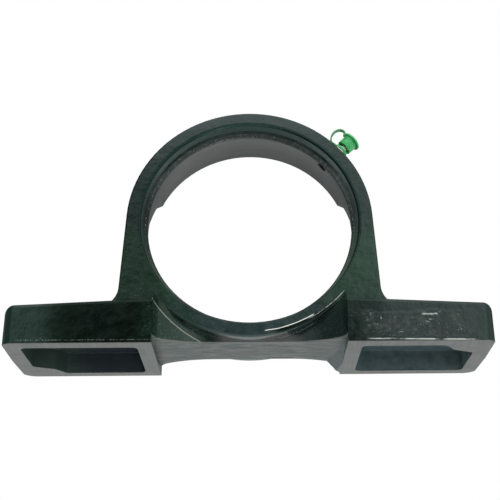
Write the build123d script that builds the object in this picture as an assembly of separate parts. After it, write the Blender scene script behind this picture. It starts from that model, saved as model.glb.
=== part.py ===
from build123d import *
import os
from math import atan2, cos, radians, sin, sqrt, tan

# Cast pillow-block housing for a 120 mm spherical-outside bearing insert, shown empty.
# All lengths in mm, angles in degrees. The origin is on the base plane under the bore,
# +X runs along the base, +Y along the shaft towards the side with the loading slots, +Z up.

# Bore: spherical seat between two cast recesses
SEAT_RADIUS = 60.0
SEAT_WIDTH = 23.0
SEAT_CHAMFER = 0.6
FRONT_RECESS_STEP = 1.9
BACK_RECESS_STEP = 4.5
RECESS_DEPTH = 5.6
RECESS_SLOPE = 0.35
RECESS_EDGE_CHAMFER = 0.8

# Loading slots, milled from the back face to the middle of the seat, as deep as the back recess
SLOT_HEIGHT = 50.0
SLOT_CORNER_ROUND = 4.0

# Ring and legs
RIM_WALL = 10.4
RING_LIFT = 5.8
RING_WIDTH = 44.0
RING_DRAFT = 2.0
FRONT_EDGE_ROUND = 1.2
BACK_EDGE_ROUND = 0.5
LEG_ANGLE = 3.1
LEG_FOOT_ROUND = 12.0
LEG_FLARE = 15.0
LEG_SINK = 1.0

# Slots for the foundation bolts
BOLT_SPACING = 203.0
BOLT_SLOT_WIDTH = 25.0
BOLT_SLOT_TRAVEL = 5.0

# Base and feet
BASE_WIDTH = 62.0
BOLT_TO_END = 31.0
SEAT_TO_FOOT = 7.6
FOOT_HEIGHT_INNER = 26.2
FOOT_HEIGHT_OUTER = 22.6
FOOT_END_ROUND = 6.0
FOOT_CORNER_FRONT = 6.0
FOOT_CORNER_BACK = 8.0
FOOT_EDGE_ROUND = 2.0
FOOT_DRAFT = 1.5

# Cored pockets under the feet
POCKET_DEPTH = 12.0
POCKET_INNER_WALL = 8.3
POCKET_END_WALL = 9.0
POCKET_FRONT_WALL = 8.5
POCKET_BACK_WALL = 6.5
POCKET_CORNER_LENGTH = 17.0
POCKET_CORNER_DEPTH = 13.0
POCKET_STEP_LENGTH = 11.5
POCKET_STEP_DEPTH = 8.0
POCKET_CORNER_ROUND = 3.5
POCKET_DRAFT = 3.0

# Narrow waist between the feet and the moat round the underside of the ring
WAIST_LIFT = 4.9
WAIST_HALF_WIDTH = 15.5
WAIST_FLARE_LENGTH = 30.6
WAIST_FLARE_RADIUS = 52.0
WAIST_FOOT_ROUND = 9.0
WAIST_OVERLAP = 0.5
MOAT_DROP = 10.0
MOAT_FLOOR = 16.8
MOAT_LEAN = 1.6
MOAT_ROUND = 1.5

# Gusset at the back of the waist that runs down to the pad at +X
GUSSET_START_Y = -15.0
GUSSET_PAD_Y = 12.0
GUSSET_BACK_Y = 23.0
GUSSET_RUN = 8.6

# Lubrication hole and nipple
NIPPLE_ANGLE = 43.5
NIPPLE_Y = -8.5
SPOT_FACE_RADIUS = 6.0
SPOT_FACE_SINK = 0.5
SHANK_RADIUS = 3.1
SHANK_LENGTH = 6.0
SHANK_CHAMFER = 0.4
SHANK_CLEARANCE = 0.05
HEX_ACROSS_FLATS = 8.0
HEX_HEIGHT = 4.8
NECK_RADIUS = 2.4
NECK_LENGTH = 4.0
HEAD_RADIUS = 3.25
HEAD_LENGTH = 4.4
HEAD_GRIP_START = 1.2
HEAD_GRIP_END = 2.4
HEAD_TIP_RADIUS = 1.9
NIPPLE_BORE_RADIUS = 1.6
CRIMP_LENGTH = 0.5
CRIMP_RADIUS = 1.05
INLET_RADIUS = 0.9
INLET_LENGTH = 0.5

# Check valve in the nipple
BALL_RADIUS = 1.35
SPRING_WIRE_RADIUS = 0.17
SPRING_COIL_RADIUS = 1.2
SPRING_TURNS = 6.0
WIRE_SIDES = 6
SEAT_GAP = 0.02

# Dust cap, its retaining ring and the strap between them
CAP_CLEARANCE = 0.2
CAP_WALL = 1.2
CAP_START = 8.4
CAP_ROOF = 1.0
CAP_CHAMFER = 0.5
FLANGE_RADIUS = 6.0
FLANGE_THICKNESS = 1.2
FLANGE_CHAMFER = 0.4
RING_CLEARANCE = 0.06
RING_WALL = 1.9
RING_THICKNESS = 1.3
STRAP_WIDTH = 2.6
STRAP_THICKNESS = 1.1
EAR_LENGTH = 0.5
STRAP_GAP = 0.03

# How far a cutting shape runs past the faces that it cuts
CUT_MARGIN = 1.0

# Sizes that follow from the ones above
RING_RADIUS = SEAT_RADIUS + RIM_WALL
AXIS_HEIGHT = RING_RADIUS + RING_LIFT
BASE_LENGTH = BOLT_SPACING + 2 * BOLT_TO_END
FOOT_INNER_X = SEAT_RADIUS - SEAT_TO_FOOT
FRONT_RECESS_RADIUS = SEAT_RADIUS + FRONT_RECESS_STEP
BACK_RECESS_RADIUS = SEAT_RADIUS + BACK_RECESS_STEP


def bore_plane():
    """Sketch plane through the bore axis: local x is radial, local y runs along the shaft."""
    return Plane(origin=(0, 0, AXIS_HEIGHT), x_dir=(1, 0, 0), z_dir=(0, 0, 1))


def spin(face):
    """Turn a radial half section into a solid about the bore axis."""
    return revolve(face, axis=Axis((0, 0, AXIS_HEIGHT), (0, 1, 0)), revolution_arc=360)


def foot_top(x):
    """Height of the sloping foot top at the middle of the casting."""
    run = BASE_LENGTH / 2 - FOOT_INNER_X
    return FOOT_HEIGHT_INNER - (x - FOOT_INNER_X) * (FOOT_HEIGHT_INNER - FOOT_HEIGHT_OUTER) / run


def ring_mid_radius():
    """Outer radius of the ring at the parting plane, where the draft has made it largest."""
    return RING_RADIUS + RING_WIDTH / 2 * tan(radians(RING_DRAFT))


def ring():
    """Drafted ring with rounded rims; the bore is taken out of it later."""
    mid_r = ring_mid_radius()
    half = RING_WIDTH / 2
    section = make_face(
        Polyline((0, -half), (RING_RADIUS, -half), (mid_r, 0), (RING_RADIUS, half), (0, half), close=True)
    )
    for y, edge_round in ((-half, FRONT_EDGE_ROUND), (half, BACK_EDGE_ROUND)):
        rim = section.vertices().sort_by_distance((RING_RADIUS, y, 0))[0]
        section = fillet(rim, edge_round)
    return spin(bore_plane() * section)


def leg_outline(r):
    """Leg at +X where the ring has radius r: tangent side, rounded foot and straight inner edge."""
    a = radians(LEG_ANGLE)
    touch = (r * cos(a), AXIS_HEIGHT + r * sin(a))
    sink = RING_RADIUS + LEG_SINK - r
    level = foot_top(r) - sink
    corner = (touch[0] + (touch[1] - level) * tan(a), level)
    flare_x = corner[0] + LEG_FLARE
    flare = (flare_x, foot_top(flare_x) - sink)
    low = FOOT_HEIGHT_OUTER / 2
    inside = (FOOT_INNER_X, AXIS_HEIGHT - sqrt(FRONT_RECESS_RADIUS**2 - FOOT_INNER_X**2))
    under = [(flare_x, low), (FOOT_INNER_X, low), inside]
    outline = make_face(Polyline((0, AXIS_HEIGHT), touch, corner, flare, *under, close=True))
    bend = outline.vertices().sort_by_distance((corner[0], corner[1], 0))[0]
    return fillet(bend, LEG_FOOT_ROUND)


def half_leg(edge_round):
    """Leg at +X from the middle of the casting to its front face, with its outer edge rounded."""
    face_y = RING_WIDTH / 2
    middle = Plane.XZ * leg_outline(ring_mid_radius())
    front = Plane.XZ.offset(face_y) * leg_outline(RING_RADIUS)
    half = loft([middle, front], ruled=True)
    side = (RING_RADIUS, -face_y, AXIS_HEIGHT / 2)
    return fillet(half.edges().sort_by_distance(side)[0:1], edge_round)


def upright():
    """Ring and its two legs."""
    right = half_leg(FRONT_EDGE_ROUND) + mirror(half_leg(BACK_EDGE_ROUND), Plane.XZ)
    return ring() + right + mirror(right, Plane.YZ)


def foot():
    """One foot at +X: sloping top, drafted sides, rounded end and corners."""
    end = BASE_LENGTH / 2
    top_in = foot_top(FOOT_INNER_X)
    top_out = foot_top(end)
    spare = CUT_MARGIN + BASE_WIDTH / 2 * tan(radians(FOOT_DRAFT))
    side = make_face(
        Polyline(
            (FOOT_INNER_X - spare, -spare),
            (end, -spare),
            (end, top_out),
            (FOOT_INNER_X, top_in),
            (FOOT_INNER_X - spare, top_in),
            close=True,
        )
    )
    crest = side.vertices().sort_by_distance((end, top_out, 0))[0]
    side = fillet(crest, FOOT_END_ROUND)
    half = extrude(Plane.XZ * side, BASE_WIDTH / 2, taper=FOOT_DRAFT)
    body = half + mirror(half, Plane.XZ)
    plan = make_face(
        Polyline(
            (FOOT_INNER_X, -BASE_WIDTH / 2),
            (end, -BASE_WIDTH / 2),
            (end, BASE_WIDTH / 2),
            (FOOT_INNER_X, BASE_WIDTH / 2),
            close=True,
        )
    )
    front = plan.vertices().sort_by_distance((end, -BASE_WIDTH / 2, 0))[0]
    plan = fillet(front, FOOT_CORNER_FRONT)
    back = plan.vertices().sort_by_distance((end, BASE_WIDTH / 2, 0))[0]
    plan = fillet(back, FOOT_CORNER_BACK)
    body = body & extrude(plan, top_in + CUT_MARGIN)
    long_edge = (end - FOOT_INNER_X) / 2
    crests = body.edges().filter_by(lambda e: e.length > long_edge and e.center().Z > top_out / 2)
    return fillet(crests, FOOT_EDGE_ROUND)


def waist_plan():
    """Web between the feet seen from above: narrow in the middle, flared and filleted at the feet."""
    straight = FOOT_INNER_X - WAIST_FLARE_LENGTH
    rise = WAIST_FLARE_RADIUS - sqrt(WAIST_FLARE_RADIUS**2 - WAIST_FLARE_LENGTH**2)
    half_turn = atan2(WAIST_FLARE_LENGTH, WAIST_FLARE_RADIUS - rise) / 2
    mid_x = straight + WAIST_FLARE_RADIUS * sin(half_turn)
    mid_y = WAIST_HALF_WIDTH + WAIST_FLARE_RADIUS * (1 - cos(half_turn))
    start = (straight, WAIST_HALF_WIDTH)
    stop = (FOOT_INNER_X, WAIST_HALF_WIDTH + rise)
    side = stop[1] + WAIST_FOOT_ROUND
    inside_foot = FOOT_INNER_X + WAIST_OVERLAP
    edges = ThreePointArc(start, (mid_x, mid_y), stop)
    edges += Polyline(stop, (FOOT_INNER_X, side), (inside_foot, side), (inside_foot, 0))
    edges += Polyline((inside_foot, 0), (0, 0), (0, start[1]), start)
    quarter = make_face(edges)
    root = quarter.vertices().sort_by_distance((stop[0], stop[1], 0))[0]
    quarter = fillet(root, WAIST_FOOT_ROUND)
    half = quarter + mirror(quarter, Plane.XZ)
    limit = BASE_WIDTH - 2 * web_top() * tan(radians(FOOT_DRAFT))
    return (half + mirror(half, Plane.YZ)) & Rectangle(2 * inside_foot, limit)


def web_top():
    """Height at which the ring's underside passes the inner ends of the feet."""
    return AXIS_HEIGHT - sqrt(RING_RADIUS**2 - FOOT_INNER_X**2)


def waist():
    """Web between the feet, cut away round the ring."""
    web = extrude(Pos(0, 0, WAIST_LIFT) * waist_plan(), web_top() - WAIST_LIFT)
    centre_z = AXIS_HEIGHT - MOAT_DROP
    moat_r = sqrt(FOOT_INNER_X**2 + (centre_z - web_top()) ** 2)
    section = make_face(
        Polyline(
            (0, MOAT_FLOOR),
            (moat_r - MOAT_LEAN, MOAT_FLOOR),
            (moat_r, BASE_WIDTH / 2),
            (0, BASE_WIDTH / 2),
            close=True,
        )
    )
    root = section.vertices().sort_by_distance((moat_r - MOAT_LEAN, MOAT_FLOOR, 0))[0]
    section = Pos(0, 0, centre_z) * fillet(root, MOAT_ROUND)
    moat = revolve(section, axis=Axis((0, 0, centre_z), (0, 1, 0)), revolution_arc=360)
    return web - moat - mirror(moat, Plane.XZ)


def gusset():
    """Slope from the underside of the waist down to the pad, at the back of the foot at +X."""
    high = Vector(FOOT_INNER_X, GUSSET_START_Y, WAIST_LIFT)
    low = Vector(FOOT_INNER_X, GUSSET_PAD_Y, 0)
    back = Vector(FOOT_INNER_X - GUSSET_RUN, GUSSET_BACK_Y, WAIST_LIFT)
    reach = FOOT_INNER_X - 2 * GUSSET_RUN
    window = Pos(reach, GUSSET_START_Y) * Rectangle(BASE_LENGTH, BASE_WIDTH, align=Align.MIN)
    block = extrude(waist_plan() & window, WAIST_LIFT)
    slope = Plane(origin=high, x_dir=low - high, z_dir=(low - high).cross(back - high))
    return split(block, bisect_by=slope, keep=Keep.TOP)


def bore_cutter():
    """Everything the bore takes out: two cast recesses and the spherical seat between them."""
    face_y = RING_WIDTH / 2
    seat_y = SEAT_WIDTH / 2
    rim_r = sqrt(SEAT_RADIUS**2 - seat_y**2)
    wall_y = face_y - RECESS_DEPTH
    lip = RECESS_EDGE_CHAMFER
    edges = ThreePointArc((rim_r, -seat_y), (SEAT_RADIUS, 0), (rim_r, seat_y))
    for side, recess_r in ((-1, FRONT_RECESS_RADIUS), (1, BACK_RECESS_RADIUS)):
        rim = (rim_r, side * seat_y)
        bevel = (rim_r + SEAT_CHAMFER, side * (seat_y + SEAT_CHAMFER))
        root = (recess_r - RECESS_SLOPE, side * wall_y)
        mouth = (recess_r, side * (face_y - lip))
        outside = (recess_r + 2 * lip, side * (face_y + lip))
        edges += Polyline(rim, bevel, root, mouth, outside, (0, side * (face_y + lip)))
    edges += Line((0, -face_y - lip), (0, face_y + lip))
    return spin(bore_plane() * make_face(edges))


def slot_cutter():
    """Opposite loading slots from the back face to mid-seat that let the insert in edgewise."""
    depth = RING_WIDTH / 2 + CUT_MARGIN
    shape = Circle(BACK_RECESS_RADIUS) & Rectangle(2 * BACK_RECESS_RADIUS, SLOT_HEIGHT)
    shape = fillet(shape.vertices(), SLOT_CORNER_ROUND)
    return extrude(Plane.XZ.offset(-depth) * (Pos(0, AXIS_HEIGHT) * shape), depth)


def pocket(cut_corner):
    """Cored pocket under the foot at +X; cut_corner is -1 for the front corner, 1 for the back."""
    inner = FOOT_INNER_X + POCKET_INNER_WALL
    end = BASE_LENGTH / 2 - POCKET_END_WALL
    wall = {-1: -BASE_WIDTH / 2 + POCKET_FRONT_WALL, 1: BASE_WIDTH / 2 - POCKET_BACK_WALL}
    y_cut = wall[cut_corner]
    y_far = wall[-cut_corner]
    y_mid = y_cut - cut_corner * POCKET_STEP_DEPTH
    y_low = y_cut - cut_corner * POCKET_CORNER_DEPTH
    corners = [
        (inner, y_cut),
        (end - POCKET_CORNER_LENGTH, y_cut),
        (end - POCKET_STEP_LENGTH, y_mid),
        (end, y_low),
        (end, y_far),
        (inner, y_far),
    ]
    outline = make_face(Polyline(*corners[::-cut_corner], close=True))
    outline = fillet(outline.vertices(), POCKET_CORNER_ROUND)
    return extrude(outline, POCKET_DEPTH, taper=POCKET_DRAFT)


def bolt_slot():
    """Long hole for one foundation bolt, through the top of the foot at +X."""
    shape = Pos(BOLT_SPACING / 2, 0) * SlotCenterToCenter(BOLT_SLOT_TRAVEL, BOLT_SLOT_WIDTH)
    return extrude(shape, FOOT_HEIGHT_INNER + CUT_MARGIN)


def spot_face_height():
    """Distance from the bore axis to the flat that the nipple sits on."""
    draft_loss = abs(NIPPLE_Y) * tan(radians(RING_DRAFT))
    r = ring_mid_radius() - draft_loss
    return sqrt(r**2 - SPOT_FACE_RADIUS**2) - SPOT_FACE_SINK


def nipple_place():
    """Local frame of the nipple: +Z out of the ring, +X along the rim towards the ring's top."""
    a = radians(NIPPLE_ANGLE)
    reach = spot_face_height()
    origin = (reach * cos(a), NIPPLE_Y, AXIS_HEIGHT + reach * sin(a))
    return Plane(origin=origin, x_dir=(-sin(a), 0, cos(a)), z_dir=(cos(a), 0, sin(a)))


def housing():
    """The iron casting with its machined seat, slots, pockets and lubrication hole."""
    right = foot()
    body = upright() + waist() + gusset() + right + mirror(right, Plane.YZ)
    body -= bore_cutter()
    body -= slot_cutter()
    body -= pocket(-1)
    body -= mirror(pocket(1), Plane.YZ)
    holes = bolt_slot()
    body -= holes
    body -= mirror(holes, Plane.YZ)
    wall = spot_face_height() - SEAT_RADIUS + SEAT_WIDTH / 2
    inwards = (Align.CENTER, Align.CENTER, Align.MAX)
    outwards = (Align.CENTER, Align.CENTER, Align.MIN)
    drill = Cylinder(SHANK_RADIUS + SHANK_CLEARANCE, wall, align=inwards)
    facer = Cylinder(SPOT_FACE_RADIUS, SPOT_FACE_SINK + CUT_MARGIN, align=outwards)
    body -= nipple_place() * drill
    body -= nipple_place() * facer
    return body


def neck_top():
    """Height at which the nipple's head starts."""
    return HEX_HEIGHT + NECK_LENGTH


def head_top():
    """Height of the nipple's tip."""
    return neck_top() + HEAD_LENGTH


def turned(points):
    """Solid of revolution about the local Z axis from radius and height pairs."""
    return revolve(Plane.XZ * make_face(Polyline(*points, close=True)), axis=Axis.Z, revolution_arc=360)


def grease_nipple():
    """Straight lubrication nipple: shank, hexagon, neck and ball-shaped head, bored through."""
    flat_r = HEX_ACROSS_FLATS / 2
    hexagon = extrude(RegularPolygon(flat_r, 6, major_radius=False), HEX_HEIGHT)
    corner_r = flat_r / cos(radians(30))
    slope = (corner_r - flat_r) * tan(radians(30))
    envelope = turned(
        [
            (0, 0),
            (corner_r, 0),
            (corner_r, HEX_HEIGHT - slope),
            (flat_r, HEX_HEIGHT),
            (0, HEX_HEIGHT),
        ]
    )
    stem = turned(
        [
            (0, -SHANK_LENGTH),
            (SHANK_RADIUS - SHANK_CHAMFER, -SHANK_LENGTH),
            (SHANK_RADIUS, SHANK_CHAMFER - SHANK_LENGTH),
            (SHANK_RADIUS, 0),
            (NECK_RADIUS, 0),
            (NECK_RADIUS, neck_top()),
            (HEAD_RADIUS, neck_top() + HEAD_GRIP_START),
            (HEAD_RADIUS, neck_top() + HEAD_GRIP_END),
            (HEAD_TIP_RADIUS, head_top()),
            (0, head_top()),
        ]
    )
    seat_z = ball_seat_height()
    channel = turned(
        [
            (0, -SHANK_LENGTH - CUT_MARGIN),
            (CRIMP_RADIUS, -SHANK_LENGTH - CUT_MARGIN),
            (CRIMP_RADIUS, CRIMP_LENGTH - SHANK_LENGTH),
            (NIPPLE_BORE_RADIUS, CRIMP_LENGTH - SHANK_LENGTH),
            (NIPPLE_BORE_RADIUS, seat_z),
            (INLET_RADIUS, seat_z + NIPPLE_BORE_RADIUS - INLET_RADIUS),
            (INLET_RADIUS, head_top() + CUT_MARGIN),
            (0, head_top() + CUT_MARGIN),
        ]
    )
    return (hexagon & envelope) + stem - channel


def ball_seat_height():
    """Height at which the bore starts to close in a 45 degree cone under the inlet."""
    return head_top() - INLET_LENGTH - (NIPPLE_BORE_RADIUS - INLET_RADIUS)


def ball_height():
    """Height of the ball's centre when it rests against the cone."""
    apex = ball_seat_height() + NIPPLE_BORE_RADIUS
    return apex - (BALL_RADIUS + SEAT_GAP) * sqrt(2)


def nipple_check_ball():
    """Ball that closes the inlet."""
    return Pos(0, 0, ball_height()) * Sphere(BALL_RADIUS)


def nipple_spring():
    """Coil spring between the crimped lip of the shank and the ball."""
    low = CRIMP_LENGTH - SHANK_LENGTH + SPRING_WIRE_RADIUS + SEAT_GAP
    touch = BALL_RADIUS + SPRING_WIRE_RADIUS + SEAT_GAP
    high = ball_height() - sqrt(touch**2 - SPRING_COIL_RADIUS**2)
    path = Pos(0, 0, low) * Helix((high - low) / SPRING_TURNS, high - low, SPRING_COIL_RADIUS)
    section = Plane(origin=path @ 0, z_dir=path % 0) * RegularPolygon(SPRING_WIRE_RADIUS, WIRE_SIDES)
    return sweep(section, path=path, is_frenet=True)


def cap_outer_radius():
    """Outside radius of the cup."""
    return HEAD_RADIUS + CAP_CLEARANCE + CAP_WALL


def cap_top():
    """Height of the flange's upper face."""
    return head_top() + CAP_CLEARANCE + CAP_ROOF + FLANGE_THICKNESS


def strap_heights():
    """Middle heights of the strap's two ends: at the ring and at the flange."""
    return HEX_HEIGHT + RING_CLEARANCE + RING_THICKNESS / 2, cap_top() - FLANGE_THICKNESS / 2


def nipple_cap():
    """Cup over the nipple's head with a wide flange to pull it off by."""
    r_in = HEAD_RADIUS + CAP_CLEARANCE
    r_out = cap_outer_radius()
    ceiling = head_top() + CAP_CLEARANCE
    shell = turned(
        [
            (r_in, CAP_START),
            (r_out, CAP_START),
            (r_out, cap_top() - FLANGE_THICKNESS),
            (0, cap_top() - FLANGE_THICKNESS),
            (0, ceiling),
            (r_in - CAP_CHAMFER, ceiling),
            (r_in, ceiling - CAP_CHAMFER),
        ]
    )
    disc = Cylinder(FLANGE_RADIUS, FLANGE_THICKNESS, align=(Align.CENTER, Align.CENTER, Align.MIN))
    ear = Box(
        FLANGE_RADIUS + EAR_LENGTH,
        STRAP_WIDTH,
        FLANGE_THICKNESS,
        align=(Align.MIN, Align.CENTER, Align.MIN),
    )
    flange = Pos(0, 0, cap_top() - FLANGE_THICKNESS) * (disc + ear)
    cap = shell + flange
    crown = cap.faces().sort_by(Axis.Z)[-1].outer_wire().edges()
    return chamfer(crown, FLANGE_CHAMFER)


def cap_ring():
    """Loose ring round the nipple's neck that keeps the cap from being lost."""
    r_in = NECK_RADIUS + RING_CLEARANCE
    r_out = r_in + RING_WALL
    base = HEX_HEIGHT + RING_CLEARANCE
    disc = Cylinder(r_out, RING_THICKNESS, align=(Align.CENTER, Align.CENTER, Align.MIN))
    ear = Box(
        FLANGE_RADIUS + EAR_LENGTH,
        STRAP_WIDTH,
        RING_THICKNESS,
        align=(Align.MIN, Align.CENTER, Align.MIN),
    )
    hole = Cylinder(r_in, RING_THICKNESS, align=(Align.CENTER, Align.CENTER, Align.MIN))
    return Pos(0, 0, base) * (disc + ear - hole)


def cap_strap():
    """Flat strap that bows out from the ring and back to the flange of the cap."""
    low, high = strap_heights()
    start_x = FLANGE_RADIUS + EAR_LENGTH + STRAP_GAP
    bend = (high - low) / 2
    outer_r = bend + STRAP_THICKNESS / 2
    hoop = Circle(outer_r) - Circle(bend - STRAP_THICKNESS / 2)
    half = hoop & Rectangle(outer_r, 2 * outer_r, align=(Align.MIN, Align.CENTER))
    return extrude(Plane.XZ * (Pos(start_x, (low + high) / 2) * half), STRAP_WIDTH / 2, both=True)


def write(node, shape):
    """Save one piece under its node name."""
    shape.label = node
    export_step(shape, os.path.join("parts", node + ".step"))


def main():
    os.makedirs("parts", exist_ok=True)
    place = nipple_place().location
    write("housing", housing())
    write("grease_nipple", place * grease_nipple())
    write("nipple_check_ball", place * nipple_check_ball())
    write("nipple_spring", place * nipple_spring())
    write("nipple_cap", place * nipple_cap())
    write("cap_ring", place * cap_ring())
    write("cap_strap", place * cap_strap())


main()
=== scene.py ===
import math

import bmesh
import bpy
from mathutils import Matrix, Vector

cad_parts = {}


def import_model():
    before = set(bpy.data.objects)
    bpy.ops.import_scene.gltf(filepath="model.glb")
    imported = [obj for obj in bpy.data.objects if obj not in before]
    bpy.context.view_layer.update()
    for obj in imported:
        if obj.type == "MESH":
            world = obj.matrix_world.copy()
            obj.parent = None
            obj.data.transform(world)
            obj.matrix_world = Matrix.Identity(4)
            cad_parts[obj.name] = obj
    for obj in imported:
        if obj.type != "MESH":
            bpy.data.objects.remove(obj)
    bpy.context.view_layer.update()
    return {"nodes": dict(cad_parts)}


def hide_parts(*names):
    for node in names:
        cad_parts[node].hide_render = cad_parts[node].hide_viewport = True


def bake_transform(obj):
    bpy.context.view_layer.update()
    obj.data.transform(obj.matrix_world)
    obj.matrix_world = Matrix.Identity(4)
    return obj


# Looks of a cast pillow-block housing in dark green enamel. Everything is in metres, in the
# part's own frame: origin on the base plane under the bore, +X along the base, +Z up.

BORE_HEIGHT = 0.0762
SEAT_RADIUS = 0.060
SEAT_HALF_WIDTH = 0.0115
RECESS_ROOT_Y = 0.0164
SLOT_HALF_HEIGHT = 0.025
SLOT_RADIUS = 0.0645
FOOT_INNER_X = 0.0524
FOOT_FRONT_Y = -0.031
WAIST_UNDERSIDE = 0.0049
FLOOR_GAP = 0.0002
NIPPLE_ANGLE = math.radians(43.5)
NIPPLE_REACH = 0.070117
NIPPLE_Y = -0.0085
NIPPLE_AXIS = Vector((math.cos(NIPPLE_ANGLE), 0.0, math.sin(NIPPLE_ANGLE)))
NIPPLE_FOOT = Vector((0.0, NIPPLE_Y, BORE_HEIGHT)) + NIPPLE_REACH * NIPPLE_AXIS
STRAP_SIDE = Vector((-math.sin(NIPPLE_ANGLE), 0.0, math.cos(NIPPLE_ANGLE)))

# Where masks begin: 0 at the first value, 1 from the second on. LOW_ON_RING is from the bore's axis
RING_FACE = (-0.0205, -0.0212)
FOOT_FACE = (-0.0280, -0.0300)
FOOT_TOP = (0.0275, 0.0255)
LOW_ON_RING = (-0.03, -0.04)
SCAR_FACE = (-0.0275, -0.0290)

# Stretches that masks cover, from the first value to the second. The marks lie as in the photograph
WALL_RADII = (SEAT_RADIUS + 0.0006, SEAT_RADIUS + 0.0037)
POCKET_SIDE = (0.0605, 0.1238)
POCKET_Y = (-0.0228, 0.0248)
POCKET_Z = (0.0006, 0.0124)
RIM_BAND_RADII = (0.0677, 0.0705)
RIM_BAND_X = (0.018, 0.044)
RIM_LINE_RADII = (0.06765, 0.0679)
RIM_LINE_X = (0.009, 0.034)
RIM_GLINT_RADII = (0.0684, 0.0686)
RIM_GLINT_X = (0.034, 0.050)
CREST_RADII = (0.0789, 0.0793)
CREST_LEAN = 0.11
CREST_X = (-0.0535, -0.0275)
BURR_Z = (0.0021, 0.0025)
BURR_SLOPE = 0.014
BURR_X = (0.066, 0.120)
DOTS_Z = (0.0016, 0.0018)
DOTS_X = (-0.120, -0.050)
SCAR_X = (0.066, 0.113)
SCAR_Z = (0.0075, 0.0185)
BAR_X = (0.0935, 0.1005)
BAR_Z = (0.0163, 0.0166)

# Studio: strength of the plain room light, and the cool tint of what the paint mirrors
ROOM_LIGHT = 0.55
REFLECTION_TINT = (0.86, 0.98, 1.0, 1.0)

# Colours of the paint and the iron, linear, among them painted shade, painted reflections and painted
# highlights
GREEN = (0.0045, 0.0170, 0.0095)
BLUE_GREEN = (0.0060, 0.0160, 0.0130)
LEG_GREEN = (0.0100, 0.0370, 0.0180)
LEFT_END_REFLECTION_GREEN = (0.0055, 0.0230, 0.0150)
GRAIN_GREEN = (0.020, 0.042, 0.033)
CROWN_REFLECTION_GREEN = (0.026, 0.040, 0.038)
HEM_REFLECTION_GREEN = (0.018, 0.036, 0.034)
PAINTED_SHADE_GREEN = (0.0032, 0.0100, 0.0056)
WEB_GREEN = (0.0110, 0.0300, 0.0200)
WALL_SHADE_GREEN = (0.010, 0.028, 0.022)
SHOULDER_GREEN = (0.040, 0.052, 0.048)
SPECK = (0.22, 0.26, 0.22)
RUBBED = (0.20, 0.24, 0.21)
POCKET_LEFT_SHADE = (0.010, 0.016, 0.022)
POCKET_LEFT_END = (0.020, 0.040, 0.030)
POCKET_RIGHT_REFLECTION = (0.075, 0.115, 0.120)
POCKET_CLOUD = (0.016, 0.026, 0.028)
POCKET_GRIT = (0.16, 0.22, 0.18)
BURR_IRON = (0.46, 0.50, 0.47)
RIM_HIGHLIGHT = (0.85, 0.86, 0.80)
CREST_HIGHLIGHT = (0.30, 0.31, 0.25)
SCAR_DARK = (0.008, 0.014, 0.010)
SCAR_PATCH = (0.052, 0.056, 0.047)
GLINT = (0.42, 0.47, 0.45)
UNDERSIDE_REFLECTION_LIGHT = (0.140, 0.127, 0.112)
UNDERSIDE_REFLECTION_GREEN = (0.095, 0.098, 0.082)
WAIST_FRONT_REFLECTION = (0.125, 0.130, 0.122)
BORE_IRON = ((0.074, 0.070, 0.064), (0.100, 0.095, 0.088))
BORE_SHADE = (0.052, 0.048, 0.043)
PAD_IRON = ((0.122, 0.112, 0.100), (0.158, 0.146, 0.130))
STAIN = (0.085, 0.080, 0.070)


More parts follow.
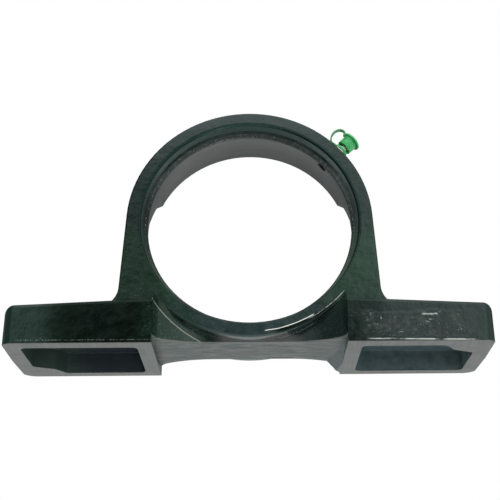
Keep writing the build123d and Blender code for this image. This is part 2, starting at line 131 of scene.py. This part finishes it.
class Tree:
    """Short calls for building one material's nodes."""

    def __init__(self, name):
        self.material = bpy.data.materials.new(name)
        self.material.use_nodes = True
        self.nodes = self.material.node_tree.nodes
        self.links = self.material.node_tree.links
        self.shader = self.nodes["Principled BSDF"]

    def put(self, socket, value):
        if isinstance(value, bpy.types.NodeSocket):
            self.links.new(value, socket)
        elif isinstance(value, (tuple, list)) and len(value) == 3 and len(socket.default_value) == 4:
            socket.default_value = (*value, 1.0)
        else:
            socket.default_value = value

    def math(self, operation, a, b=0.0):
        node = self.nodes.new("ShaderNodeMath")
        node.operation = operation
        self.put(node.inputs[0], a)
        self.put(node.inputs[1], b)
        return node.outputs[0]

    def point(self):
        return self.nodes.new("ShaderNodeTexCoord").outputs["Object"]

    def parts(self, vector):
        node = self.nodes.new("ShaderNodeSeparateXYZ")
        self.put(node.inputs[0], vector)
        return node.outputs[0], node.outputs[1], node.outputs[2]

    def stretched(self, vector, scale):
        node = self.nodes.new("ShaderNodeVectorMath")
        node.operation = "MULTIPLY"
        self.put(node.inputs[0], vector)
        self.put(node.inputs[1], scale)
        return node.outputs[0]

    def noise(self, vector, size, detail=2.0, rough=0.5, warp=0.0):
        """Noise whose features are about size metres across."""
        node = self.nodes.new("ShaderNodeTexNoise")
        self.put(node.inputs["Vector"], vector)
        node.inputs["Scale"].default_value = 1.0 / size
        node.inputs["Detail"].default_value = detail
        node.inputs["Roughness"].default_value = rough
        node.inputs["Distortion"].default_value = warp
        return node.outputs["Fac"]

    def step(self, value, low, high):
        """0 below low, 1 above high, smooth between; low may be above high."""
        node = self.nodes.new("ShaderNodeMapRange")
        node.interpolation_type = "SMOOTHSTEP"
        self.put(node.inputs["Value"], value)
        flip = low > high
        node.inputs["From Min"].default_value = high if flip else low
        node.inputs["From Max"].default_value = low if flip else high
        node.inputs["To Min"].default_value = 1.0 if flip else 0.0
        node.inputs["To Max"].default_value = 0.0 if flip else 1.0
        return node.outputs["Result"]

    def mix(self, share, a, b):
        node = self.nodes.new("ShaderNodeMix")
        node.data_type = "RGBA"
        self.put(node.inputs[0], share)
        self.put(node.inputs[6], a)
        self.put(node.inputs[7], b)
        return node.outputs[2]

    def coat(self, below, colour, mask, share):
        """The colour below, covered by another where the mask is 1, as far as the share says."""
        return self.mix(self.part_of(mask, share), below, colour)

    def blend(self, share, a, b):
        node = self.nodes.new("ShaderNodeMix")
        node.data_type = "FLOAT"
        self.put(node.inputs[0], share)
        self.put(node.inputs[2], a)
        self.put(node.inputs[3], b)
        return node.outputs[0]

    def all_of(self, *masks):
        result = masks[0]
        for mask in masks[1:]:
            result = self.math("MULTIPLY", result, mask)
        return result

    def any_of(self, *masks):
        result = masks[0]
        for mask in masks[1:]:
            result = self.math("MAXIMUM", result, mask)
        return result

    def part_of(self, mask, share):
        return self.math("MULTIPLY", mask, share)

    def bump(self, height, depth, normal=None):
        """Relief of that depth in metres."""
        node = self.nodes.new("ShaderNodeBump")
        node.inputs["Strength"].default_value = 1.0
        node.inputs["Distance"].default_value = depth
        self.put(node.inputs["Height"], height)
        if normal is not None:
            self.put(node.inputs["Normal"], normal)
        return node.outputs["Normal"]

    def soft_edges(self, radius):
        """Normal that rounds every edge by about radius metres."""
        node = self.nodes.new("ShaderNodeBevel")
        node.samples = 4
        node.inputs["Radius"].default_value = radius
        return node.outputs["Normal"]

    def between(self, value, low, high, soft):
        """1 from low to high, fading out over soft outside them."""
        return self.all_of(self.step(value, low - soft, low), self.step(value, high + soft, high))

    def set(self, name, value):
        self.put(self.shader.inputs[name], value)


class Place:
    """The shaded point in the part's frame, with its height over the bore's axis and its distance from it."""

    def __init__(self, t):
        self.point = t.point()
        self.x, self.y, self.z = t.parts(self.point)
        self.side = t.math("ABSOLUTE", self.x)
        self.depth = t.math("ABSOLUTE", self.y)
        self.up = t.math("SUBTRACT", self.z, BORE_HEIGHT)
        squares = t.math("ADD", t.math("MULTIPLY", self.x, self.x), t.math("MULTIPLY", self.up, self.up))
        self.radius = t.math("SQRT", squares)


def machined_places(t, at):
    """Masks of the machined surfaces: the bore seat with the loading slots, and the foot pads."""
    seat = t.all_of(
        t.step(at.depth, SEAT_HALF_WIDTH + 0.0005, SEAT_HALF_WIDTH + 0.0002),
        t.step(at.radius, SEAT_RADIUS + 0.0008, SEAT_RADIUS + 0.0005),
    )
    slot = t.all_of(
        t.between(at.y, 0.0, RECESS_ROOT_Y, soft=0.0002),
        t.step(t.math("ABSOLUTE", at.up), SLOT_HALF_HEIGHT + 0.0005, SLOT_HALF_HEIGHT + 0.0001),
        t.step(at.radius, SLOT_RADIUS + 0.0004, SLOT_RADIUS + 0.0001),
    )
    pad = t.all_of(t.step(at.z, 0.0003, 0.0001), t.step(at.side, FOOT_INNER_X - 0.008, FOOT_INNER_X - 0.007))
    return t.any_of(seat, slot), pad


def recess_wall(t, at):
    """Mask of the front recess's wall and lip, above the bore's middle, where shade is painted."""
    return t.all_of(
        t.step(at.y, -0.0160, -0.0168),
        t.between(at.radius, *WALL_RADII, soft=0.0002),
        t.step(at.up, -0.04, 0.0),
    )


def painted_shade_places(t, at, wall):
    """Painted shade: darker paint in the recess, in a band low on the rim and over much of the front at -X.
    """
    foot_front = t.all_of(t.step(at.y, *FOOT_FACE), t.step(at.z, *FOOT_TOP))
    foot = t.all_of(foot_front, t.between(at.x, -0.098, -0.054, soft=0.018))
    inner_end = t.all_of(foot_front, t.between(at.x, 0.053, 0.066, soft=0.010))
    band = t.all_of(
        t.step(at.y, *RING_FACE),
        t.between(at.radius, *RIM_BAND_RADII, soft=0.0003),
        t.between(at.x, *RIM_BAND_X, soft=0.006),
        t.step(at.up, *LOW_ON_RING),
    )
    leg = t.all_of(t.between(at.x, -0.090, -0.052, soft=0.008), t.between(at.z, 0.030, 0.050, soft=0.012))
    flank = t.all_of(t.step(at.x, -0.040, -0.062), t.between(at.up, -0.025, 0.020, soft=0.025))
    partly = t.any_of(t.part_of(inner_end, 0.6), t.part_of(leg, 0.35), t.part_of(flank, 0.45))
    return t.any_of(foot, wall, band, partly)


def base_coat(t, at, deep):
    """The paint's two greens, livelier on the legs, with painted reflections making it lighter and greyer at
    the left end, on the crown and low on the ring's face, and painted shade over the deep places.
    """
    drift = t.noise(at.point, size=0.035, detail=3.0, rough=0.55, warp=0.4)
    grain = t.noise(at.point, size=0.0014, detail=4.0, rough=0.6)
    paint = t.mix(t.step(drift, 0.38, 0.62), GREEN, BLUE_GREEN)
    legs = t.all_of(t.between(at.z, 0.034, 0.062, soft=0.016), t.between(at.side, 0.045, 0.085, soft=0.010))
    paint = t.coat(paint, LEG_GREEN, legs, 0.85)
    # Painted reflection: lighter paint on the outer end of the foot at -X.
    left_end_reflection = t.all_of(t.step(at.x, -0.075, -0.125), t.step(at.z, 0.027, 0.022))
    paint = t.coat(paint, LEFT_END_REFLECTION_GREEN, left_end_reflection, 0.8)
    paint = t.coat(paint, GRAIN_GREEN, t.step(grain, 0.54, 0.80), 0.8)
    # Painted reflections: lighter, greyer paint on the crown and low on the ring's face.
    paint = t.coat(paint, CROWN_REFLECTION_GREEN, t.step(at.up, 0.040, 0.066), 0.8)
    hem_reflection = t.all_of(t.step(at.up, -0.046, -0.060), t.step(at.y, *RING_FACE), t.step(at.radius, 0.0712, 0.0706))
    paint = t.coat(paint, HEM_REFLECTION_GREEN, hem_reflection, 0.8)
    # Painted shade over the deep places.
    return t.coat(paint, PAINTED_SHADE_GREEN, deep, 0.85)


def specks_and_rubbing(t, at, paint):
    """Pale specks in clusters and on the waist's web, and rubbed paint beside the bore seat."""
    specks = t.step(t.noise(at.point, size=0.0011, detail=2.0, rough=0.6), 0.60, 0.70)
    clusters = t.all_of(specks, t.step(t.noise(at.point, size=0.014), 0.56, 0.68))
    web = t.all_of(
        t.between(at.x, -0.056, -0.030, soft=0.006),
        t.step(at.z, 0.026, 0.020),
        t.step(at.y, -0.012, -0.014),
    )
    paint = t.coat(paint, WEB_GREEN, web, 0.7)
    paint = t.mix(t.any_of(t.part_of(clusters, 0.28), t.part_of(t.all_of(specks, web), 0.30)), paint, SPECK)

    shoulder = t.all_of(
        t.between(at.radius, SEAT_RADIUS - 0.0012, SEAT_RADIUS + 0.0005, soft=0.0002),
        t.step(at.depth, SEAT_HALF_WIDTH, SEAT_HALF_WIDTH + 0.0004),
    )
    upper_front = t.all_of(shoulder, t.step(at.y, 0.0, -0.010), t.step(at.up, 0.0, 0.045))
    paint = t.mix(upper_front, paint, SHOULDER_GREEN)
    rubbed = t.all_of(
        shoulder,
        t.step(at.y, -0.0145, -0.0152),
        t.step(at.x, 0.045, 0.0),
        t.step(t.noise(at.point, size=0.004, detail=3.0, rough=0.6), 0.36, 0.60),
    )
    return t.mix(t.any_of(t.all_of(shoulder, specks), t.part_of(rubbed, 0.8)), paint, RUBBED)


def pocket_coat(t, at):
    """Mask and colour of the cored pockets under the feet, with painted shade in the pocket at -X and a
    painted reflection in the one at +X, gritty towards the front.
    """
    pocket = t.all_of(
        t.between(at.z, *POCKET_Z, soft=0.0003),
        t.between(at.side, *POCKET_SIDE, soft=0.0003),
        t.between(at.y, *POCKET_Y, soft=0.0002),
    )
    # Painted shade in the pocket at -X, a painted reflection in the one at +X.
    left = t.mix(t.step(at.x, -0.090, -0.105), POCKET_LEFT_SHADE, POCKET_LEFT_END)
    pocket_paint_and_light = t.mix(t.step(at.x, -0.01, 0.01), left, POCKET_RIGHT_REFLECTION)
    cloud = t.noise(at.point, size=0.006, detail=4.0, rough=0.65, warp=0.3)
    pocket_paint_and_light = t.coat(pocket_paint_and_light, POCKET_CLOUD, t.step(cloud, 0.35, 0.75), 0.6)
    grains = t.noise(at.point, size=0.0016, detail=3.0, rough=0.7)
    grit = t.all_of(t.step(grains, 0.55, 0.66), t.step(at.y, -0.006, -0.016))
    return pocket, t.coat(pocket_paint_and_light, POCKET_GRIT, grit, 0.6)


def burr(t, at, paint):
    """Thin bright burr just above the milled pads: a line on the foot at +X, fine dots on the other."""
    front_edge = t.step(at.y, FOOT_FRONT_Y + 0.0018, FOOT_FRONT_Y + 0.0012)
    sloped = t.math("ADD", at.z, t.math("MULTIPLY", at.x, BURR_SLOPE))
    thread = t.noise(t.stretched(at.point, (0.30, 1.0, 1.0)), size=0.0030, detail=3.0, rough=0.6)
    line = t.all_of(
        t.between(sloped, *BURR_Z, soft=0.0003),
        t.between(at.x, *BURR_X, soft=0.004),
        t.step(thread, 0.36, 0.56),
    )
    dots = t.all_of(
        t.between(at.z, *DOTS_Z, soft=0.0002),
        t.between(at.x, *DOTS_X, soft=0.006),
        t.step(t.noise(at.point, size=0.0010, detail=2.0, rough=0.6), 0.40, 0.64),
    )
    return t.mix(t.all_of(front_edge, t.any_of(line, t.part_of(dots, 0.5))), paint, BURR_IRON)


def edge_highlights(t, at, paint):
    """Painted highlights along the edge low on the ring's rim at +X and along the crest of the waist at -X.
    """
    wander = t.math("ADD", at.radius, t.math("MULTIPLY", t.noise(at.point, size=0.006), 0.0009))
    line = t.all_of(
        t.between(wander, *RIM_LINE_RADII, soft=0.0002),
        t.between(at.x, *RIM_LINE_X, soft=0.0015),
    )
    rim_glints = t.all_of(
        t.between(wander, *RIM_GLINT_RADII, soft=0.0002),
        t.between(at.x, *RIM_GLINT_X, soft=0.003),
        t.step(t.noise(at.point, size=0.0050), 0.30, 0.50),
    )
    rim_front = t.all_of(t.step(at.y, *RING_FACE), t.step(at.up, *LOW_ON_RING))
    # Painted highlight: a bright line and broken glints along the lower rim.
    paint = t.mix(t.all_of(rim_front, t.any_of(line, t.part_of(rim_glints, 0.55))), paint, RIM_HIGHLIGHT)

    # Painted highlight along the crest of the waist.
    leaning = t.math("SUBTRACT", at.radius, t.math("MULTIPLY", at.x, CREST_LEAN))
    crest = t.all_of(
        t.between(leaning, *CREST_RADII, soft=0.0002),
        t.between(at.x, *CREST_X, soft=0.001),
        t.step(at.y, -0.013, -0.014),
        t.step(t.noise(at.point, size=0.0022, detail=3.0, rough=0.7), 0.28, 0.42),
    )
    return t.coat(paint, CREST_HIGHLIGHT, crest, 0.8)


def scar(t, at, paint):
    """Coarse, badly run skin on the front of the foot at +X, with painted glints and a painted highlight bar.
    Gives the paint, the mask and the relief.
    """
    ragged = t.noise(at.point, size=0.011, detail=3.0, rough=0.6, warp=0.5)
    face = t.step(at.y, *SCAR_FACE)
    mask = t.all_of(
        t.between(at.x, *SCAR_X, soft=0.010),
        t.between(t.math("ADD", at.z, t.math("MULTIPLY", ragged, 0.006)), *SCAR_Z, soft=0.0025),
        face,
    )
    relief = t.noise(at.point, size=0.0024, detail=4.0, rough=0.68, warp=1.6)
    paint = t.mix(t.all_of(mask, t.step(relief, 0.44, 0.66)), paint, SCAR_DARK)
    patches = t.noise(at.point, size=0.0060, detail=5.0, rough=0.75, warp=0.15)
    paint = t.coat(paint, SCAR_PATCH, t.all_of(mask, t.step(patches, 0.46, 0.62)), 0.60)
    ragged_height = t.math(
        "ADD",
        at.z,
        t.math("MULTIPLY", t.noise(at.point, size=0.0015, detail=3.0, rough=0.7), 0.0026),
    )
    # Painted highlight: a bright bar, and painted glints on the rough skin.
    highlight_bar = t.all_of(
        t.between(at.x, *BAR_X, soft=0.0012),
        t.between(ragged_height, *BAR_Z, soft=0.0004),
        face,
    )
    flecks = t.noise(t.stretched(at.point, (0.7, 1.0, 1.3)), size=0.0030, detail=4.0, rough=0.75, warp=0.9)
    glint = t.all_of(mask, t.step(flecks, 0.60, 0.70))
    paint = t.mix(t.any_of(t.part_of(glint, 0.75), t.part_of(highlight_bar, 0.9)), paint, GLINT)
    return paint, mask, relief


def waist_coat(t, at, paint):
    """Streaky paint under the waist, made pale grey by a painted reflection, and a painted reflection on its
    rounded lower front, where it catches the light.
    """
    under = t.all_of(
        t.between(at.z, WAIST_UNDERSIDE - 0.0002, WAIST_UNDERSIDE + 0.0002, soft=0.0002),
        t.step(at.side, FOOT_INNER_X + 0.0006, FOOT_INNER_X),
    )
    streak = t.noise(t.stretched(at.point, (0.16, 1.0, 1.0)), size=0.0024, detail=4.0, rough=0.6, warp=0.3)
    blotch = t.noise(at.point, size=0.005, detail=3.0, rough=0.6, warp=0.6)
    # Painted reflection: pale grey paint under the waist, in streaks.
    streaks_and_reflection = t.mix(t.step(blotch, 0.40, 0.66), UNDERSIDE_REFLECTION_LIGHT, UNDERSIDE_REFLECTION_GREEN)
    paint = t.mix(t.all_of(under, t.step(streak, 0.30, 0.66)), paint, streaks_and_reflection)
    # Painted reflection on the rounded lower front.
    rounded_front = t.all_of(
        t.between(at.x, -0.012, 0.022, soft=0.010),
        t.between(at.z, 0.0046, 0.0085, soft=0.0006),
        t.between(at.y, -0.0214, -0.0120, soft=0.0002),
    )
    return t.coat(paint, WAIST_FRONT_REFLECTION, rounded_front, 0.8), under


def bare_iron(t, at, pad):
    """Colour, tool marks and stain of the iron: turned rings in the bore, milling marks on the pads."""
    swirl = t.noise(t.stretched(at.point, (0.02, 1.0, 0.02)), size=0.0005, detail=2.0, rough=0.5)
    milled = t.noise(t.stretched(at.point, (1.0, 0.03, 1.0)), size=0.0012, detail=3.0, rough=0.6)
    stain = t.noise(at.point, size=0.012, detail=4.0, rough=0.6, warp=0.3)
    bore = t.mix(t.step(swirl, 0.3, 0.7), *BORE_IRON)
    bore = t.coat(bore, BORE_SHADE, t.step(at.x, 0.012, 0.045), 0.8)
    iron = t.mix(pad, bore, t.mix(t.step(milled, 0.3, 0.7), *PAD_IRON))
    iron = t.coat(iron, STAIN, t.step(stain, 0.50, 0.75), 0.35)
    return iron, t.blend(pad, swirl, milled), stain


def casting_material():
    """Enamel over a cast surface, with the bore seat, loading slots and foot pads left bare."""
    t = Tree("green_enamel_casting")
    at = Place(t)
    turned, pad = machined_places(t, at)
    bare = t.any_of(turned, pad)
    wall = recess_wall(t, at)
    # deep marks the painted shade: darker, more metallic paint where shade falls.
    deep = painted_shade_places(t, at, wall)
    paint = specks_and_rubbing(t, at, base_coat(t, at, deep))
    pocket, pocket_paint_and_light = pocket_coat(t, at)
    paint = t.mix(pocket, paint, pocket_paint_and_light)
    # Painted shade on the recess wall and lip.
    paint = t.mix(wall, paint, WALL_SHADE_GREEN)
    paint = edge_highlights(t, at, burr(t, at, paint))
    paint, rough_skin, skin_relief = scar(t, at, paint)
    paint, under = waist_coat(t, at, paint)
    iron, marks, stain = bare_iron(t, at, pad)

    t.set("Base Color", t.mix(bare, paint, iron))
    # Metallic is raised on the bare iron, and on the painted shade to darken it.
    t.set("Metallic", t.any_of(t.part_of(bare, 0.55), t.part_of(deep, 0.7)))
    gloss = t.blend(t.step(t.noise(at.point, size=0.006, detail=3.0, rough=0.6), 0.35, 0.7), 0.17, 0.30)
    gloss = t.blend(rough_skin, gloss, 0.22)
    gloss = t.blend(t.any_of(under, pocket), gloss, 0.46)
    t.set("Roughness", t.blend(bare, gloss, t.blend(stain, 0.36, 0.50)))
    t.set("IOR", 1.5)

    painted = t.math("SUBTRACT", 1.0, bare)
    waves = t.noise(at.point, size=0.011, detail=2.0, rough=0.5)
    cast_grain = t.noise(at.point, size=0.0032, detail=3.0, rough=0.55)
    orange_peel = t.noise(at.point, size=0.0009, detail=2.0, rough=0.5)
    normal = t.bump(t.all_of(waves, painted), depth=0.00030, normal=t.soft_edges(0.0006))
    normal = t.bump(t.all_of(cast_grain, painted), depth=0.00011, normal=normal)
    normal = t.bump(t.all_of(orange_peel, painted), depth=0.000022, normal=normal)
    normal = t.bump(t.all_of(skin_relief, rough_skin), depth=0.00045, normal=normal)
    t.set("Normal", t.bump(t.all_of(marks, bare), depth=0.000012, normal=normal))
    return t.material


def steel_material(name, colour, roughness, size):
    """Plated or drawn steel with a fine grain."""
    t = Tree(name)
    p = t.point()
    cloud = t.noise(p, size=size, detail=3.0, rough=0.6)
    darker = tuple(0.82 * c for c in colour)
    t.set("Base Color", t.mix(t.step(cloud, 0.35, 0.7), colour, darker))
    t.set("Metallic", 1.0)
    t.set("Roughness", t.blend(cloud, roughness, roughness + 0.12))
    t.set("Normal", t.bump(t.noise(p, size=size / 8, detail=2.0, rough=0.5), depth=0.000006))
    return t.material


def plastic_material(name, deep, light):
    """Soft translucent polyethylene with flow marks."""
    t = Tree(name)
    p = t.point()
    flow = t.noise(p, size=0.004, detail=3.0, rough=0.55, warp=0.5)
    t.set("Base Color", t.mix(t.step(flow, 0.3, 0.7), deep, light))
    t.set("Roughness", t.blend(flow, 0.28, 0.40))
    t.set("IOR", 1.5)
    t.set("Subsurface Weight", 0.75)
    t.set("Subsurface Radius", (0.3, 1.0, 0.5))
    t.set("Subsurface Scale", 0.0022)
    t.set("Transmission Weight", 0.06)
    t.set("Normal", t.bump(t.noise(p, size=0.0012, detail=2.0, rough=0.5), depth=0.000012))
    return t.material


def nipple_point(out, along, across):
    """Point in the part's frame from distances along the strap's side, the nipple's axis and the shaft."""
    return NIPPLE_FOOT + out * STRAP_SIDE + along * NIPPLE_AXIS + Vector((0.0, across, 0.0))


def smooth_path(points, steps):
    """Even curve through the given points."""
    ends = [2 * points[0] - points[1], *points, 2 * points[-1] - points[-2]]
    path = []
    for k in range(1, len(ends) - 2):
        a, b, c, d = ends[k - 1 : k + 3]
        bend = 2 * a - 5 * b + 4 * c - d
        twist = 3 * b - a - 3 * c + d
        for i in range(steps):
            u = i / steps
            path.append(0.5 * (2 * b + (c - a) * u + bend * u**2 + twist * u**3))
    return path + [points[-1]]


def strap_section():
    """Points round the strap's section: a flat oval with a rib at each edge."""
    half_width = 0.00125
    half_thick = 0.00040
    rib = 0.00014
    count = 16
    section = []
    for k in range(count):
        turn = 2 * math.pi * k / count
        across = half_width * math.copysign(abs(math.cos(turn)) ** 0.6, math.cos(turn))
        lift = half_thick * math.copysign(abs(math.sin(turn)) ** 0.7, math.sin(turn))
        if abs(across) > 0.6 * half_width:
            lift += rib * math.copysign(1.0, lift)
        section.append((across, lift))
    return section


def strap_piece(material):
    """Moulded strap: a round arch from the ring's ear to the cap's flange."""
    # Listed one by one: distance out from the nipple's axis, distance along it
    route = [
        (0.0058, 0.00550),
        (0.0079, 0.00570),
        (0.0098, 0.00720),
        (0.0111, 0.00960),
        (0.0115, 0.01240),
        (0.0107, 0.01480),
        (0.0090, 0.01625),
        (0.0072, 0.01630),
        (0.0056, 0.01500),
    ]
    path = smooth_path([Vector((out, along)) for out, along in route], steps=6)
    section = strap_section()
    mesh = bmesh.new()
    rings = []
    for i, here in enumerate(path):
        ahead = path[min(i + 1, len(path) - 1)] - path[max(i - 1, 0)]
        outward = Vector((ahead.y, -ahead.x)).normalized()
        ring = []
        for across, lift in section:
            spot = here + outward * lift
            ring.append(mesh.verts.new(nipple_point(spot.x, spot.y, across)))
        rings.append(ring)
    for a, b in zip(rings, rings[1:]):
        for k in range(len(section)):
            following = (k + 1) % len(section)
            mesh.faces.new((a[k], a[following], b[following], b[k]))
    mesh.faces.new(reversed(rings[0]))
    mesh.faces.new(rings[-1])
    bmesh.ops.recalc_face_normals(mesh, faces=mesh.faces)
    data = bpy.data.meshes.new("strap")
    mesh.to_mesh(data)
    mesh.free()
    for face in data.polygons:
        face.use_smooth = len(face.vertices) == 4
    data.materials.append(material)
    strap = bpy.data.objects.new("strap", data)
    bpy.context.scene.collection.objects.link(strap)
    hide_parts("cap_strap")
    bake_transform(strap)


def dress(node, material):
    """Give a piece of the frame its finish."""
    mesh = node.data
    mesh.materials.clear()
    mesh.materials.append(material)


def camera():
    """The photograph's view: from in front and below the base plane, slightly rolled."""
    elevation = math.radians(-23.17)
    azimuth = math.radians(-1.55)
    roll = math.radians(-0.89)
    target = Vector((0.0178, 0.0, 0.0616))
    distance = 0.570
    back = Vector(
        (
            math.sin(azimuth) * math.cos(elevation),
            -math.cos(azimuth) * math.cos(elevation),
            math.sin(elevation),
        )
    )
    right = Vector((0.0, 0.0, 1.0)).cross(back).normalized()
    upward = back.cross(right)
    cam_x = math.cos(roll) * right + math.sin(roll) * upward
    cam_y = -math.sin(roll) * right + math.cos(roll) * upward
    data = bpy.data.cameras.new("camera")
    data.sensor_width = 36.0
    data.lens = 70.1
    data.shift_x = -0.0612
    data.shift_y = 0.0158
    data.clip_start = 0.01
    data.clip_end = 20.0
    cam = bpy.data.objects.new("camera", data)
    place = Matrix((cam_x, cam_y, back)).transposed().to_4x4()
    place.translation = target + back * distance
    cam.matrix_world = place
    bpy.context.scene.collection.objects.link(cam)
    bpy.context.scene.camera = cam


def lamp(name, place, aim, size, power, mirrored=False):
    """Soft rectangular lamp that shines from place towards aim; mirrored ones show in reflections."""
    data = bpy.data.lights.new(name, "AREA")
    data.shape = "RECTANGLE"
    data.size, data.size_y = size
    data.energy = power
    light = bpy.data.objects.new(name, data)
    light.visible_glossy = mirrored
    light.location = place
    light.rotation_mode = "QUATERNION"
    light.rotation_quaternion = (Vector(aim) - Vector(place)).to_track_quat("-Z", "Y")
    bpy.context.scene.collection.objects.link(light)


def world():
    """White backdrop to the eye and in reflections from behind, a dimmer room on the near side."""
    w = bpy.data.worlds.new("studio")
    bpy.context.scene.world = w
    w.use_nodes = True
    nodes, links = w.node_tree.nodes, w.node_tree.links
    shader = nodes["Background"]
    path = nodes.new("ShaderNodeLightPath")
    direction = nodes.new("ShaderNodeTexCoord").outputs["Generated"]

    def value(operation, a, b):
        node = nodes.new("ShaderNodeMath")
        node.operation = operation
        for socket, given in zip(node.inputs, (a, b)):
            if isinstance(given, bpy.types.NodeSocket):
                links.new(given, socket)
            else:
                socket.default_value = given
        return node.outputs[0]

    def ramp(given, low, high, start, end):
        node = nodes.new("ShaderNodeMapRange")
        node.interpolation_type = "SMOOTHSTEP"
        links.new(given, node.inputs["Value"])
        node.inputs["From Min"].default_value = low
        node.inputs["From Max"].default_value = high
        node.inputs["To Min"].default_value = start
        node.inputs["To Max"].default_value = end
        return node.outputs["Result"]

    def facing(vector):
        node = nodes.new("ShaderNodeVectorMath")
        node.operation = "DOT_PRODUCT"
        links.new(direction, node.inputs[0])
        node.inputs[1].default_value = Vector(vector).normalized()
        return node.outputs["Value"]

    # In front: the photographer's dark shape, bright all round it, dim towards -X and +X
    photographer = facing((-0.06, -0.965, 0.25))
    shade = ramp(photographer, low=0.955, high=0.996, start=1.4, end=0.02)
    left = ramp(facing((1, 0, 0)), low=-0.55, high=-0.15, start=0.08, end=1.0)
    right = ramp(facing((1, 0, 0)), low=0.35, high=0.70, start=1.0, end=0.45)
    near = value("MULTIPLY", shade, value("MULTIPLY", left, right))
    # Behind: bright below, dim above
    far = ramp(facing((0, 0, 1)), low=-0.10, high=0.30, start=1.0, end=0.30)
    behind = ramp(facing((0, 1, 0)), low=-0.25, high=0.15, start=0.0, end=1.0)
    near_share = value("MULTIPLY", near, value("SUBTRACT", 1.0, behind))
    seen = value("ADD", value("MULTIPLY", far, behind), near_share)
    straight = value("MAXIMUM", path.outputs["Is Camera Ray"], path.outputs["Is Transmission Ray"])
    mirrored = value("MULTIPLY", path.outputs["Is Glossy Ray"], seen)
    plain = value("MULTIPLY", value("SUBTRACT", 1.0, path.outputs["Is Glossy Ray"]), ROOM_LIGHT)
    other = value("ADD", mirrored, plain)
    keep = value("MULTIPLY", value("SUBTRACT", 1.0, straight), other)
    links.new(value("ADD", straight, keep), shader.inputs["Strength"])
    tint = nodes.new("ShaderNodeMix")
    tint.data_type = "RGBA"
    links.new(path.outputs["Is Glossy Ray"], tint.inputs[0])
    tint.inputs[6].default_value = (1.0, 1.0, 1.0, 1.0)
    tint.inputs[7].default_value = REFLECTION_TINT
    links.new(tint.outputs[2], shader.inputs["Color"])


def floor():
    """Pale floor under the feet. It is one-sided: the photograph looks up from below it."""
    t = Tree("floor")
    cloud = t.noise(t.point(), size=0.05, detail=3.0)
    t.set("Base Color", t.mix(t.step(cloud, 0.3, 0.7), (0.86, 0.86, 0.86), (0.90, 0.90, 0.90)))
    t.set("Roughness", 0.9)
    clear = t.nodes.new("ShaderNodeBsdfTransparent")
    both = t.nodes.new("ShaderNodeMixShader")
    path = t.nodes.new("ShaderNodeLightPath")
    back = t.nodes.new("ShaderNodeNewGeometry").outputs["Backfacing"]
    shown = t.math("MULTIPLY", path.outputs["Is Camera Ray"], t.math("SUBTRACT", 1.0, back))
    t.links.new(shown, both.inputs[0])
    t.links.new(clear.outputs[0], both.inputs[1])
    t.links.new(t.shader.outputs[0], both.inputs[2])
    t.links.new(both.outputs[0], t.nodes["Material Output"].inputs["Surface"])
    mesh = bpy.data.meshes.new("floor")
    half = 3.0
    corners = [(-half, -half, 0), (half, -half, 0), (half, half, 0), (-half, half, 0)]
    mesh.from_pydata(corners, [], [(0, 1, 2, 3)])
    mesh.materials.append(t.material)
    plane = bpy.data.objects.new("floor", mesh)
    plane.location = (0.0, 0.0, -FLOOR_GAP)
    bpy.context.scene.collection.objects.link(plane)


def main():
    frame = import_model()
    nodes = frame["nodes"]

    dress(nodes["housing"], casting_material())
    zinc = steel_material("zinc_steel", (0.72, 0.70, 0.62), roughness=0.26, size=0.003)
    ball = steel_material("ball_steel", (0.80, 0.80, 0.82), roughness=0.08, size=0.002)
    wire = steel_material("spring_steel", (0.60, 0.60, 0.62), roughness=0.30, size=0.001)
    dress(nodes["grease_nipple"], zinc)
    dress(nodes["nipple_check_ball"], ball)
    dress(nodes["nipple_spring"], wire)
    cap = plastic_material("green_plastic", deep=(0.040, 0.380, 0.105), light=(0.085, 0.520, 0.170))
    for name in ("nipple_cap", "cap_ring", "cap_strap"):
        dress(nodes[name], cap)
    thin = plastic_material("green_plastic_strap", deep=(0.060, 0.260, 0.105), light=(0.110, 0.360, 0.160))
    strap_piece(thin)

    world()
    floor()
    lamp("key", place=(-0.5, -0.9, 0.9), aim=(0, 0, 0.06), size=(0.9, 0.9), power=9.0)
    lamp("fill", place=(0.8, -0.5, 0.1), aim=(0, 0, 0.06), size=(0.6, 0.6), power=3.0)
    lamp("rim", place=(0.35, -0.30, -0.68), aim=(0, 0, 0.03), size=(0.10, 0.25), power=1.2, mirrored=True)
    camera()
    bpy.context.scene.view_settings.view_transform = "Standard"


main()
